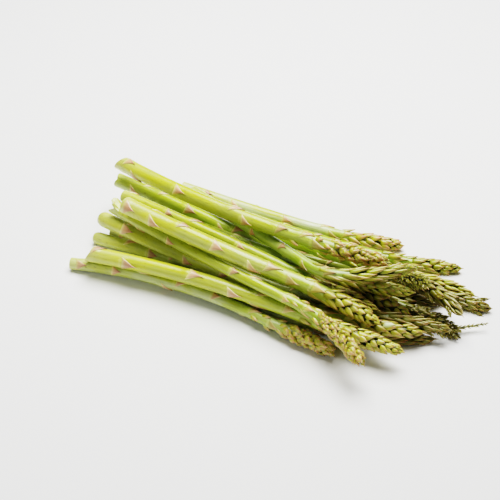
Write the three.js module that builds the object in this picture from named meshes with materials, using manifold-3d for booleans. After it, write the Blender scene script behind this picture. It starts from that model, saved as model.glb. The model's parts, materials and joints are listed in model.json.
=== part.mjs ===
// A loose bundle of fresh green asparagus, lying on a surface with nothing tied round it.
// Millimetres, +Z up. +X runs from the cut ends to the tips, and the bundle is centred on the origin.
import * as THREE from "three";
import Module from "manifold-3d";

const wasm = await Module();
wasm.setup();

// How the spears lie together
const SKIN = 0.75; // what each spear keeps round its stem for its scale leaves and a fine gap
const BED = 0.45; // how far a soft spear that lies on the surface presses its round side flat
const SETTLE_ROUNDS = 160;
const SETTLE_STEPS = 40; // places along a spear where it is tested against its neighbours
const SETTLE_SINK = 0.02; // how far the pile is let down in the first round
const SINK_SHARE = 0.75; // share of the rounds in which the pile still comes down
const BUNDLE_SHIFT = new THREE.Vector3(-26.91, 6.25, 0); // brings the middle of the bundle to the origin

// Shape of every spear, in shares of its length
const HOOK_START = 0.7; // where the tip begins to bend away
const HEAD_START = 0.78; // where the stem ends and the packed tip begins
const STEM_TAPER = 0.16; // loss of girth from the cut end to the tip
const HEAD_SWELL = 0.7; // share of the tip over which it swells
const POINT_START = 0.35; // share of the tip where it begins to close to a point
const POINT_POWER = 1.3;
const POINT_GIRTH = 0.08; // girth left at the very point
const FRAME_STEP = 0.004; // how far ahead and behind the direction of a spear is taken

// Faceting
const SIDES = 8;
const STEM_STATIONS = [0, 0.13, 0.26, 0.38, 0.5, 0.6, 0.7];
const ROUND_STATIONS = [[0, 0.5], [0.007, 0.86], [0.02, 1]]; // where a rounded cut end is, and its girth

// Scale leaves on the stem
const GOLDEN_ANGLE = Math.PI * (3 - Math.sqrt(5));
const LEAF_COUNT = 8;
const LEAF_FIRST = 15; // from the cut end to the first scale leaf
const LEAF_RISE = 0.55; // how far a scale leaf stands off the stem at its base
const LEAF_SPREAD = 0.78; // half the angle that a scale leaf takes, in radians
const LIP_AHEAD = 0.12; // where its base stands off the stem, in shares of its length
const LIP_SPREAD = 0.62; // width of that raised base, against its foot
const LEAF_POINT_SINK = 0.1; // how far its point goes into the stem
const LEAF_ROOT = 2.4; // how far the middle of its root is sunk
const LEAF_FOOT = 0.75; // how far the two ends of its foot are sunk
const LEAF_CROWDING = 0.9; // below 1 the scale leaves come closer together toward the tip
const LEAF_STRAY = 0.3; // how far a scale leaf may stray from its even place, in spaces
const LEAF_LENGTH_SPREAD = 0.25; // how much longer than the stem is thick a scale leaf may be

// Rows of overlapping scales that the packed tip is made of, each row turned against the last
const SCALE_ROWS = 8;
const ROW_CROWDING = 1.25; // how much closer the rows come together toward the point
const SCALE_OVERLAP = 1.4; // length of a scale, in rows
const NOTCH = 0.5; // where two scales of a row part, in rows
const NOTCH_DEPTH = 0.2; // how far the skin lies in where two scales part
const SCALE_RISE = 0.5; // how far the free point of a scale stands off
const SCALE_SPREAD = 0.2; // how much scales differ in length, in rows, and in rise
const SCALE_ROOT = 0.9; // how far the foot of a scale is tucked in
const FIRST_ROOT = 0.5; // share of that for the first row, which grows out of the stem
const CORE_RADIUS = 0.6; // the least radius at the feet of the scales
const LAST_SCALE = 0.996; // the free points of the last scales stay before the very point

// Cut ends
const TORN_LENGTH = 3.2; // how ragged a torn cut end is
const TORN_BACK = 0.3; // share of the ragged length that lies inside the stem
const SLANT = 0.6; // rise of a slanted cut across the stem
const SLANT_TURN = 2.6; // which side of it is left longest, measured round from the top to the front

// Every spear: its cut end, the point it aims at, its bends, its thickness, the swelling of its tip.
// bow and sag bend the whole spear to the side and upward; hook and lift bend only the tip.
const SPEARS = [
  { name: "spear_front_curved", butt: [-110, -68, 4], aim: [98, -67, 7],
    bow: 15, sag: 2, hook: 8, lift: 0, thick: 9, head: 1.2, cut: "straight", turn: 0.4, tone: 0x9bab4a },
  { name: "spear_front_long_scaled", butt: [-47, -41, 4], aim: [152, -23, 3],
    bow: -13, sag: 0, hook: 9, lift: 0, thick: 8.5, head: 1, cut: "straight", turn: 1.9, tone: 0x7f8f3c },
  { name: "spear_front_round_cut", butt: [-112, -37, 5], aim: [104, -37, 4],
    bow: 8, sag: 0, hook: 8, lift: 0, thick: 9.5, head: 1.1, cut: "round", turn: 3.1, tone: 0xa9b65a },
  { name: "spear_front_frill", butt: [-47, -23, 14], aim: [159, -7, 11],
    bow: -12, sag: 0, hook: 0, lift: 0, thick: 9, head: 1.1, cut: "straight", turn: 4.2, tone: 0x87963f },
  { name: "spear_under_damaged", butt: [-106, -24, 4], aim: [109, -28, 4],
    bow: 6, sag: 0, hook: 8, lift: 0, thick: 8.5, head: 1.1, cut: "straight", turn: 5.5, tone: 0x98a84c },
  { name: "spear_mid_low", butt: [-70, 4, 5], aim: [142, 0, 4],
    bow: 4, sag: 0, hook: 18, lift: 0, thick: 10, head: 1.05, cut: "straight", turn: 0.9, tone: 0x8c9b42 },
  { name: "spear_mid_drooping", butt: [-43, -15, 12], aim: [162, 12, 8],
    bow: -5, sag: 2, hook: -15, lift: 0, thick: 8, head: 1.2, cut: "straight", turn: 2.6, tone: 0x74843a },
  { name: "spear_right_forked", butt: [-33, 16, 5], aim: [174, 25, 4],
    bow: -1, sag: 0, hook: 4, lift: 0, thick: 9.5, head: 1.15, cut: "straight", turn: 3.7, tone: 0x7b8c3e },
  { name: "spear_right_long", butt: [-49, 24, 5], aim: [159, 47, 4],
    bow: -3, sag: 0, hook: -4, lift: 0, thick: 9.5, head: 1.05, cut: "straight", turn: 5, tone: 0x7d8e40 },
  { name: "spear_back_reaching", butt: [-20, 35, 5], aim: [141, 53, 3],
    bow: -4, sag: 0, hook: 6, lift: 0, thick: 9.5, head: 1.1, cut: "straight", turn: 0.2, tone: 0x82933f },
  { name: "spear_back_thick", butt: [-86, 40, 5], aim: [94, 55, 5],
    bow: -3, sag: 0, hook: 6, lift: 0, thick: 9.5, head: 1.3, cut: "straight", turn: 1.3, tone: 0xa7b478 },
  { name: "spear_front_slanted", butt: [-97, -65, 16], aim: [143, -53, 17],
    bow: 9, sag: 3, hook: 8, lift: 0, thick: 11.5, head: 1.15, cut: "slanted", turn: 2.2, tone: 0xaab858 },
  { name: "spear_front_stout", butt: [-111.3, -26.5, 18.5], aim: [144, -38, 11],
    bow: -6, sag: 3, hook: 18, lift: 1, thick: 11.5, head: 1.1, cut: "round", turn: 3.4, tone: 0xa3b34c },
  { name: "spear_right_hooked", butt: [-35, -4, 11], aim: [157, 34, 20], bow: -6,
    sag: 0, hook: -33, lift: -1, thick: 10.5, head: 1.15, cut: "straight", turn: 4.6, tone: 0x7a8a3c },
  { name: "spear_right_open_head", butt: [-83, 13, 8], aim: [137, -4, 31],
    bow: -7, sag: 3, hook: 1, lift: 0, thick: 9, head: 1.1, cut: "straight", turn: 5.8, tone: 0x8a9c44 },
  { name: "spear_left_long", butt: [-119.5, 16, 25], aim: [133, -13, 16],
    bow: -1, sag: 3, hook: 4, lift: -5, thick: 11, head: 1.15, cut: "straight", turn: 0.6, tone: 0x94a83e },
  { name: "spear_mid_blunt", butt: [-71, -5, 25], aim: [130, -9, 29],
    bow: -4, sag: 1, hook: 8, lift: 0, thick: 10, head: 1, cut: "straight", turn: 1.7, tone: 0x9db046 },
  { name: "spear_mid_slender", butt: [-102, -7, 31], aim: [112, -22, 22],
    bow: -2, sag: 5, hook: 3, lift: 0, thick: 9, head: 1.15, cut: "straight", turn: 2.9, tone: 0x9fb14a },
  { name: "spear_torn_end", butt: [-100, -25, 29], aim: [128, -57, 27],
    bow: -5, sag: 1, hook: -21, lift: -4, thick: 8.5, head: 1.3, cut: "torn", turn: 4, tone: 0x93a543 },
  { name: "spear_raised_tip", butt: [-57, 13, 26], aim: [113, -46, 43],
    bow: 1, sag: 0, hook: 50, lift: 5, thick: 9, head: 1.1, cut: "straight", turn: 5.2, tone: 0x9cae48 },
  { name: "spear_top_stout", butt: [-87, -33, 42], aim: [120, -29, 23],
    bow: -7, sag: 4, hook: -8, lift: -1, thick: 12.5, head: 1, cut: "straight", turn: 0, tone: 0xaebb58 },
  { name: "spear_top_back", butt: [-117, 7, 41], aim: [110, -7, 42],
    bow: -11, sag: 2, hook: 0, lift: 0, thick: 11.5, head: 1.05, cut: "slanted", turn: 1.1, tone: 0xaab74c },
];

// A repeatable row of random numbers between 0 and 1.
function randomRow(seed) {
  let state = seed >>> 0;
  return () => {
    state = (state + 0x6d2b79f5) >>> 0;
    let mixed = Math.imul(state ^ (state >>> 15), state | 1);
    mixed ^= mixed + Math.imul(mixed ^ (mixed >>> 7), mixed | 61);
    return ((mixed ^ (mixed >>> 14)) >>> 0) / 2 ** 32;
  };
}

// Girth at a share of the length, against the girth of the cut end.
function girthAt(share, head) {
  const stem = 1 - STEM_TAPER * Math.min(share / HEAD_START, 1);
  const tip = THREE.MathUtils.clamp((share - HEAD_START) / (1 - HEAD_START), 0, 1);
  const swell = Math.sin((Math.min(tip / HEAD_SWELL, 1) * Math.PI) / 2) ** 2;
  const closing = Math.max((tip - POINT_START) / (1 - POINT_START), 0);
  const point = Math.max(1 - closing ** 2, 0) ** (POINT_POWER / 2);
  return stem * (1 + (head - 1) * swell) * Math.max(point, POINT_GIRTH);
}

// The middle line of a spear: two ends that settle with the pile, and bends that stay as they grew.
class MiddleLine {
  constructor(spear) {
    this.butt = new THREE.Vector3(...spear.butt);
    this.aim = new THREE.Vector3(...spear.aim);
    this.spear = spear;
    const run = this.aim.clone().sub(this.butt).setZ(0).normalize();
    this.left = new THREE.Vector3(-run.y, run.x, 0);
  }

  point(share) {
    const { bow, sag, hook, lift } = this.spear;
    const arc = 4 * share * (1 - share);
    const end = Math.max((share - HOOK_START) / (1 - HOOK_START), 0) ** 2;
    const place = this.butt.clone().lerp(this.aim, share);
    place.addScaledVector(this.left, bow * arc + hook * end);
    place.z += sag * arc + lift * end;
    return place;
  }

  radius(share) {
    return (this.spear.thick / 2) * girthAt(share, this.spear.head);
  }

  // Directions along the spear, toward its upper side and across it.
  frame(share) {
    const before = this.point(Math.max(share - FRAME_STEP, 0));
    const along = this.point(Math.min(share + FRAME_STEP, 1)).sub(before).normalize();
    const upper = new THREE.Vector3(0, 0, 1).addScaledVector(along, -along.z).normalize();
    return { along, upper, across: along.clone().cross(upper) };
  }

  // Moves the spear so that its point at a share of the length goes by a vector.
  push(share, vector) {
    const rest = 1 - share;
    const whole = rest * rest + share * share;
    this.butt.addScaledVector(vector, rest / whole);
    this.aim.addScaledVector(vector, share / whole);
  }
}

// The deepest place where two spears would press into each other.
function deepestPress(first, second) {
  let worst = { depth: 0 };
  for (let i = 0; i <= SETTLE_STEPS; i += 1) {
    for (let j = 0; j <= SETTLE_STEPS; j += 1) {
      const dx = first.places[i].x - second.places[j].x;
      const dy = first.places[i].y - second.places[j].y;
      const dz = first.places[i].z - second.places[j].z;
      const distance = Math.sqrt(dx * dx + dy * dy + dz * dz);
      const depth = first.reach[i] + second.reach[j] - distance;
      if (depth > worst.depth) {
        worst = { depth, i, j, apart: new THREE.Vector3(dx, dy, dz).divideScalar(distance) };
      }
    }
  }
  return worst;
}

// Lets the pile down and nudges the spears off each other and off the surface.
function settle(lines) {
  const shares = Array.from({ length: SETTLE_STEPS + 1 }, (_, i) => i / SETTLE_STEPS);
  const refresh = (line) => {
    line.places = shares.map((share) => line.point(share));
  };
  for (const line of lines) {
    line.radii = shares.map((share) => line.radius(share));
    line.reach = line.radii.map((radius) => radius + SKIN);
  }
  for (let round = 0; round < SETTLE_ROUNDS; round += 1) {
    const sink = SETTLE_SINK * Math.max(0, 1 - round / (SETTLE_ROUNDS * SINK_SHARE));
    for (const line of lines) {
      line.push(0.5, new THREE.Vector3(0, 0, -sink));
      refresh(line);
    }
    lines.forEach((line, index) => {
      const depths = line.places.map((place, i) => line.radii[i] - BED - place.z);
      const low = depths.indexOf(Math.max(...depths));
      if (depths[low] > 0) {
        line.push(shares[low], new THREE.Vector3(0, 0, depths[low]));
        refresh(line);
      }
      for (const other of lines.slice(0, index)) {
        const press = deepestPress(line, other);
        if (press.depth > 0) {
          line.push(shares[press.i], press.apart.clone().multiplyScalar(press.depth / 2));
          other.push(shares[press.j], press.apart.clone().multiplyScalar(-press.depth / 2));
          refresh(line);
          refresh(other);
        }
      }
    });
  }
}

function solidFrom(points, triangles) {
  const vertProperties = new Float32Array(points.flatMap((point) => point.toArray()));
  const triVerts = new Uint32Array(triangles.flat());
  return new wasm.Manifold(new wasm.Mesh({ numProp: 3, vertProperties, triVerts }));
}

// How far a cut end stands out at a place on its rim, measured back along the stem.
function cutReach(spear, angle, radius, random) {
  if (spear.cut === "slanted") {
    return SLANT * radius * (Math.cos(angle - SLANT_TURN) - 1);
  }
  if (spear.cut === "torn") {
    return TORN_LENGTH * (random() - TORN_BACK);
  }
  return 0;
}

// The rings that a spear's skin is drawn over. Each is a row of corners: a share of the length and a radius.
function skinRings(line, random) {
  const { spear } = line;
  const stem = spear.cut === "round"
    ? [...ROUND_STATIONS, ...STEM_STATIONS.slice(1).map((share) => [share, 1])]
    : STEM_STATIONS.map((share) => [share, 1]);
  const around = Array.from({ length: SIDES }, (_, side) => side);
  const rings = stem.map(([share, full]) => around.map(() => [share, line.radius(share) * full]));
  const rowStart = (row) => 1 - (1 - HEAD_START) * (1 - row / SCALE_ROWS) ** ROW_CROWDING;
  for (let row = 0; row < SCALE_ROWS; row += 1) {
    const start = rowStart(row);
    const pitch = rowStart(row + 1) - start;
    const root = SCALE_ROOT * Math.min(1, (row + 1) * FIRST_ROOT);
    rings.push(around.map(() => [start, Math.max(line.radius(start) - root, CORE_RADIUS)]));
    rings.push(around.map((side) => {
      const free = (side + row) % 2 === 0;
      const reach = free ? SCALE_OVERLAP - SCALE_SPREAD * random() : NOTCH;
      const share = Math.min(start + pitch * reach, LAST_SCALE);
      return [share, line.radius(share) + (free ? SCALE_RISE - SCALE_SPREAD * random() : -NOTCH_DEPTH)];
    }));
  }
  return rings;
}

// The stem and the scaly tip, as one closed skin.
function stemSolid(line, random) {
  const { spear } = line;
  const rings = skinRings(line, random);
  const points = [];
  rings.forEach((ring, order) => ring.forEach(([share, radius], side) => {
    const { along, upper, across } = line.frame(share);
    const angle = ((side + 0.5) / SIDES) * 2 * Math.PI;
    const reach = order === 0 ? cutReach(spear, angle, radius, random) : 0;
    points.push(
      line.point(share)
        .addScaledVector(upper, radius * Math.cos(angle))
        .addScaledVector(across, radius * Math.sin(angle))
        .addScaledVector(along, -reach),
    );
  }));
  const foot = points.push(line.point(0)) - 1;
  const top = points.push(line.point(1)) - 1;
  const triangles = [];
  for (let side = 0; side < SIDES; side += 1) {
    const next = (side + 1) % SIDES;
    for (let ring = 0; ring + 1 < rings.length; ring += 1) {
      const here = ring * SIDES;
      const ahead = here + SIDES;
      triangles.push([here + side, ahead + next, ahead + side], [here + side, here + next, ahead + next]);
    }
    const last = (rings.length - 1) * SIDES;
    triangles.push([foot, next, side], [top, last + side, last + next]);
  }
  return solidFrom(points, triangles);
}

// One scale leaf: a pointed pad with a broad raised base, its root sunk in the stem.
function leafSolid(line, share, angle, length) {
  const whole = line.butt.distanceTo(line.aim);
  const place = (ahead, turn, height) => {
    const here = share + (ahead * length) / whole;
    const { upper, across } = line.frame(here);
    const radius = line.radius(here) + height;
    return line.point(here)
      .addScaledVector(upper, radius * Math.cos(angle + turn))
      .addScaledVector(across, radius * Math.sin(angle + turn));
  };
  const points = [
    place(0, -LEAF_SPREAD, -LEAF_FOOT),
    place(0, LEAF_SPREAD, -LEAF_FOOT),
    place(1, 0, -LEAF_POINT_SINK),
    place(LIP_AHEAD, -LEAF_SPREAD * LIP_SPREAD, LEAF_RISE),
    place(LIP_AHEAD, LEAF_SPREAD * LIP_SPREAD, LEAF_RISE),
    place(0.5, 0, -LEAF_ROOT),
  ];
  return solidFrom(points, [
    [0, 4, 3], [0, 1, 4], [3, 4, 2], [0, 3, 2], [1, 2, 4],
    [0, 5, 1], [1, 5, 2], [2, 5, 0],
  ]);
}

// Scale leaves of the stem, closer together toward the tip.
function stemLeaves(line, random) {
  const { spear } = line;
  const first = LEAF_FIRST / line.butt.distanceTo(line.aim);
  return Array.from({ length: LEAF_COUNT }, (_, index) => {
    const step = (index + LEAF_STRAY * random()) / LEAF_COUNT;
    const share = first + (HEAD_START - first) * step ** LEAF_CROWDING;
    const length = spear.thick * (1 + LEAF_LENGTH_SPREAD * random());
    return leafSolid(line, share, spear.turn + index * GOLDEN_ANGLE, length);
  });
}

// The outer skin of a solid as a geometry, without any closed pocket left between the scales.
function outerSkin(solid) {
  const { vertProperties, triVerts, numProp } = solid.getMesh();
  const parent = Array.from({ length: vertProperties.length / numProp }, (_, i) => i);
  const rootOf = (index) => {
    let root = index;
    while (parent[root] !== root) {
      root = parent[root];
    }
    parent[index] = root;
    return root;
  };
  for (let i = 0; i < triVerts.length; i += 3) {
    parent[rootOf(triVerts[i + 1])] = rootOf(triVerts[i]);
    parent[rootOf(triVerts[i + 2])] = rootOf(triVerts[i]);
  }
  const skins = new Map();
  for (let i = 0; i < triVerts.length; i += 3) {
    const root = rootOf(triVerts[i]);
    skins.set(root, [...(skins.get(root) ?? []), triVerts[i], triVerts[i + 1], triVerts[i + 2]]);
  }
  const largest = [...skins.values()].sort((a, b) => b.length - a.length)[0];
  const used = [...new Set(largest)];
  const renumber = new Map(used.map((old, index) => [old, index]));
  const positions = used.flatMap((old) => [...vertProperties.slice(old * numProp, old * numProp + 3)]);
  const geometry = new THREE.BufferGeometry();
  geometry.setAttribute("position", new THREE.Float32BufferAttribute(positions, 3));
  geometry.setIndex(largest.map((old) => renumber.get(old)));
  geometry.computeVertexNormals();
  return geometry;
}

function spearMesh(line, index) {
  const random = randomRow(index + 1);
  const pieces = [stemSolid(line, random), ...stemLeaves(line, random)];
  const grown = wasm.Manifold.union(pieces).trimByPlane([0, 0, 1], 0);
  const geometry = outerSkin(grown);
  geometry.translate(...BUNDLE_SHIFT.toArray());
  const material = new THREE.MeshStandardMaterial({ color: line.spear.tone, roughness: 0.45, metalness: 0 });
  const mesh = new THREE.Mesh(geometry, material);
  mesh.name = line.spear.name;
  return mesh;
}

const lines = SPEARS.map((spear) => new MiddleLine(spear));
settle(lines);

const bundle = new THREE.Group();
bundle.name = "asparagus_bundle";
lines.forEach((line, index) => bundle.add(spearMesh(line, index)));

export default bundle;
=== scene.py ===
import json
import math

import bpy
import numpy as np
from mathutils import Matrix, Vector


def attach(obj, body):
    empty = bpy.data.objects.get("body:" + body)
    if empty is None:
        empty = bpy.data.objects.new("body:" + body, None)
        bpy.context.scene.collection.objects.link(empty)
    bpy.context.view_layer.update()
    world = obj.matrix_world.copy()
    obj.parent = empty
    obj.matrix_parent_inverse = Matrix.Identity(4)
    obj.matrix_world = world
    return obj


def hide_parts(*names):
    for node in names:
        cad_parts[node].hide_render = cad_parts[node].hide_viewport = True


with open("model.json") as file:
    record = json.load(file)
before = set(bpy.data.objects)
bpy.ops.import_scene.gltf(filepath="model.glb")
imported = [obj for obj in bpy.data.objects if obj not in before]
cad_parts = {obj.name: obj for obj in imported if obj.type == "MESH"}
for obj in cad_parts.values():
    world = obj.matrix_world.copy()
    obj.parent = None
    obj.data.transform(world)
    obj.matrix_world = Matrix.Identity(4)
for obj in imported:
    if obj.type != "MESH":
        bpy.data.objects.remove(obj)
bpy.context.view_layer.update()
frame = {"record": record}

mm = 0.001
goldenAngle = math.pi * (3 - math.sqrt(5))

# How the spears lie together, in mm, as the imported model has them
pile = {
    "skin": 0.75,  # what each spear keeps round its stem
    "bed": 0.45,  # how far a low spear is pressed flat by the surface
    "rounds": 160,
    "steps": 40,  # places along a spear where it is tested against the others
    "sink": 0.02,  # how far the pile comes down in the first round
    "sinkShare": 0.75,  # share of the rounds in which it still comes down
    "shift": (-26.91, 6.25, 0.0),  # brings the middle of the bundle to the origin
    "lowest": 0.00002,  # metres that the finer pieces stay above the surface
    "sharp": 48,  # degrees from which an edge is drawn sharp
    "before": 0.03,  # share of the length that the line is drawn out past the cut end
    "beyond": 0.06,  # and past the point
    "samples": 546,
    "seed": 100,
}

# Shape of every spear, in shares of its length
growth = {
    "hookStart": 0.7,
    "headStart": 0.78,
    "taper": 0.16,
    "headSwell": 0.7,
    "pointStart": 0.35,
    "pointPower": 1.3,
    "pointGirth": 0.08,
}

# Every spear: cut end, point it aims at, bends, thickness, swelling and look of the tip.
# leaves are the scale leaves of the stem, flakes the pale damaged scales and shoots the side shoots.
# Each stands at a share of the length and a turn in degrees from the top to the front.
# trim is how many mm the cut end falls short of the line.
spears = [
    dict(name="spear_front_curved", butt=(-110, -68, 4), aim=(98, -67, 7), bow=15, sag=2, hook=8, lift=0,
         thick=9, head=1.2, cut="straight", turn=0.4, tip="knobby", bloom=0.65, pink=0.8, cool=0.15,
         leaves=[(0.02, 55), (0.05, -30), (0.15, 60), (0.34, 120), (0.39, 25), (0.53, 30), (0.68, 0),
                 (0.76, 75)]),
    dict(name="spear_front_long_scaled", butt=(-47, -41, 4), aim=(152, -23, 3), bow=-13, sag=0, hook=9,
         lift=0, thick=8.5, head=1, cut="straight", turn=1.9, tip="long", bloom=0.1, pink=0.55, cool=0,
         leaves=[]),
    dict(name="spear_front_round_cut", butt=(-112, -37, 5), aim=(104, -37, 4), bow=8, sag=0, hook=8, lift=0,
         thick=9.5, head=1.1, cut="round", turn=3.1, tip="tight", bloom=0.3, pink=0.5, cool=0.15,
         leaves=[(0.12, -20), (0.21, 65)]),
    dict(name="spear_front_frill", butt=(-47, -23, 14), aim=(159, -7, 11), bow=-12, sag=0, hook=0, lift=0,
         thick=9, head=1.1, cut="straight", turn=4.2, tip="long", bloom=0.1, pink=0.3, cool=0, leaves=[],
         shoots=[(0.95, 100, "frill"), (0.96, 150, "frill"), (0.92, 125, "frill")]),
    dict(name="spear_under_damaged", butt=(-106, -24, 4), aim=(109, -28, 4), bow=6, sag=0, hook=8, lift=0,
         thick=8.5, head=1.1, cut="straight", turn=5.5, tip="tight", bloom=0.6, pink=0.3, cool=0, leaves=[],
         blanched=0.8, flakes=[(0.74, 40), (0.77, 10), (0.8, 55)]),
    dict(name="spear_mid_low", butt=(-70, 4, 5), aim=(142, 0, 4), bow=4, sag=0, hook=18, lift=0,
         thick=10, head=1.05, cut="straight", turn=0.9, tip="long", bloom=0, pink=0.3, cool=0, leaves=[]),
    dict(name="spear_mid_drooping", butt=(-43, -15, 12), aim=(162, 12, 8), bow=-5, sag=2, hook=-15, lift=0,
         thick=8, head=1.2, cut="straight", turn=2.6, tip="frilled", bloom=0, pink=0.1, cool=0, leaves=[],
         shoots=[(0.965, -90, "wisp"), (0.8, -85, "prong"), (0.83, -60, "prong"), (0.86, -90, "prong"),
                 (0.89, -70, "prong")]),
    dict(name="spear_right_forked", butt=(-33, 16, 5), aim=(174, 25, 4), bow=-1, sag=0, hook=4, lift=0,
         thick=9.5, head=1.15, cut="straight", turn=3.7, tip="long", bloom=0.1, pink=0.2, cool=0, leaves=[],
         shoots=[(0.92, 120, "prong"), (0.93, -40, "prong")]),
    dict(name="spear_right_long", butt=(-49, 24, 5), aim=(159, 47, 4), bow=-3, sag=0, hook=-4, lift=0,
         thick=9.5, head=1.05, cut="straight", turn=5, tip="long", bloom=0.1, pink=0.35, cool=0, leaves=[]),
    dict(name="spear_back_reaching", butt=(-20, 35, 5), aim=(141, 53, 3), bow=-4, sag=0, hook=6, lift=0,
         thick=9.5, head=1.1, cut="straight", turn=0.2, tip="tight", bloom=0.1, pink=0.6, cool=0, leaves=[],
         first=0.57),
    dict(name="spear_back_thick", butt=(-86, 40, 5), aim=(94, 55, 5), bow=-3, sag=0, hook=6, lift=0,
         thick=9.5, head=1.3, cut="straight", turn=1.3, tip="tight", bloom=1, pink=1, cool=0,
         leaves=[(0.11, 25), (0.24, 60), (0.48, 45), (0.65, -30), (0.69, 90), (0.75, 20)]),
    dict(name="spear_front_slanted", butt=(-97, -65, 16), aim=(143, -53, 17), bow=9, sag=3, hook=8, lift=0,
         thick=11.5, head=1.15, cut="slanted", turn=2.2, tip="fine", bloom=0.15, pink=0.3, cool=0,
         leaves=[(0.02, -10), (0.12, 75), (0.33, 15), (0.46, 85), (0.55, -20), (0.64, 40)]),
    dict(name="spear_front_stout", butt=(-111.3, -26.5, 18.5), aim=(144, -38, 11), bow=-6, sag=3, hook=18,
         lift=1, thick=11.5, head=1.1, cut="round", turn=3.4, tip="tight", bloom=0.2, pink=0.7, cool=0,
         leaves=[(0.1, -35), (0.09, 50), (0.26, -35), (0.31, 85), (0.43, 45), (0.74, 20)],
         flakes=[(0.9, 12)]),
    dict(name="spear_right_hooked", butt=(-35, -4, 11), aim=(157, 34, 20), bow=-6, sag=0, hook=-33, lift=-1,
         thick=10.5, head=1.15, cut="straight", turn=4.6, tip="long", bloom=0, pink=0.1, cool=0, leaves=[],
         shoots=[(0.94, 80, "prong"), (0.85, 95, "prong"), (0.89, 70, "prong")]),
    dict(name="spear_right_open_head", butt=(-83, 13, 8), aim=(137, -4, 31), bow=-7, sag=3, hook=1, lift=0,
         thick=9, head=1.1, cut="straight", turn=5.8, tip="frilled", bloom=0.1, pink=0.1, cool=0, leaves=[]),
    dict(name="spear_left_long", butt=(-119.5, 16, 25), aim=(133, -13, 16), bow=-1, sag=3, hook=4, lift=-5,
         thick=11, head=1.15, cut="lobed", turn=0.6, tip="tight", bloom=0.1, pink=0.5, cool=0.55,
         leaves=[(0.06, 90), (0.16, -35), (0.26, 35), (0.38, 80), (0.43, 15), (0.5, 95), (0.57, 75)]),
    dict(name="spear_mid_blunt", butt=(-71, -5, 25), aim=(130, -9, 29), bow=-4, sag=1, hook=8, lift=0,
         thick=10, head=1, cut="straight", turn=1.7, tip="tight", bloom=0, pink=0.1, cool=0, leaves=[]),
    dict(name="spear_mid_slender", butt=(-102, -7, 31), aim=(112, -22, 22), bow=-2, sag=5, hook=3, lift=0,
         thick=9, head=1.15, cut="straight", turn=2.9, tip="fine", bloom=0.1, pink=0.3, cool=0.25, trim=3,
         leaves=[(0.2, 30), (0.3, -35), (0.49, 45), (0.7, -35), (0.76, 15)]),
    dict(name="spear_torn_end", butt=(-100, -25, 29), aim=(128, -57, 27), bow=-5, sag=1, hook=-21, lift=-4,
         thick=8.5, head=1.3, cut="torn", turn=4, tip="knobby", bloom=0.15, pink=0.85, cool=0.25,
         leaves=[(0.24, 75), (0.49, 30), (0.56, -35), (0.68, 60), (0.76, 20), (0.75, 120)]),
    dict(name="spear_raised_tip", butt=(-57, 13, 26), aim=(113, -46, 43), bow=1, sag=0, hook=50, lift=5,
         thick=9, head=1.1, cut="straight", turn=5.2, tip="long", bloom=0.35, pink=0.55, cool=0.25,
         leaves=[(0.37, 70), (0.53, 20), (0.66, 80), (0.74, -30), (0.76, 35)], shoots=[(0.97, 40, "prong")]),
    dict(name="spear_top_stout", butt=(-87, -33, 42), aim=(120, -29, 23), bow=-7, sag=4, hook=-8, lift=-1,
         thick=12.5, head=1, cut="straight", turn=0, tip="tight", bloom=0.25, pink=0.3, cool=0, trim=3,
         leaves=[(0.02, 55), (0.13, 80), (0.24, -15), (0.38, 40), (0.52, 100), (0.58, 20), (0.66, 70),
                 (0.75, 30), (0.74, 125)]),
    dict(name="spear_top_back", butt=(-117, 7, 41), aim=(110, -7, 42), bow=-11, sag=2, hook=0, lift=0,
         thick=11.5, head=1.05, cut="slanted", turn=1.1, tip="knobby", bloom=0.2, pink=1, cool=0,
         leaves=[(0.04, 0), (0.08, 120), (0.26, 45), (0.47, -20), (0.52, 80), (0.64, 25), (0.72, -5),
                 (0.76, 80)]),
]


def smooth(value):
    held = np.clip(value, 0, 1)
    return held * held * (3 - 2 * held)


def girthAt(share, head):  # girth at a share of the length, against the girth of the cut end
    share = np.clip(share, 0, 1)
    stem = 1 - growth["taper"] * np.minimum(share / growth["headStart"], 1)
    tip = np.clip((share - growth["headStart"]) / (1 - growth["headStart"]), 0, 1)
    swell = np.sin(np.minimum(tip / growth["headSwell"], 1) * math.pi / 2) ** 2
    closing = np.maximum((tip - growth["pointStart"]) / (1 - growth["pointStart"]), 0)
    point = np.maximum(1 - closing ** 2, 0) ** (growth["pointPower"] / 2)
    return stem * (1 + (head - 1) * swell) * np.maximum(point, growth["pointGirth"])


class MiddleLine:  # two ends that settle with the pile, and bends that stay as they grew
    def __init__(self, spear):
        self.spear = spear
        self.ends = np.array([spear["butt"], spear["aim"]], float)
        run = self.ends[1] - self.ends[0]
        self.left = np.array([-run[1], run[0], 0.0]) / math.hypot(run[0], run[1])

    def points(self, shares):
        spear = self.spear
        arc = 4 * shares * (1 - shares)
        end = np.maximum((shares - growth["hookStart"]) / (1 - growth["hookStart"]), 0) ** 2
        places = self.ends[0] + (self.ends[1] - self.ends[0]) * shares[:, None]
        places = places + self.left * (spear["bow"] * arc + spear["hook"] * end)[:, None]
        places[:, 2] += spear["sag"] * arc + spear["lift"] * end
        return places

    def radii(self, shares):
        return self.spear["thick"] / 2 * girthAt(shares, self.spear["head"])

    def push(self, share, move):
        weight = np.array([1 - share, share])
        self.ends += weight[:, None] * np.asarray(move) / (weight ** 2).sum()


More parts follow.
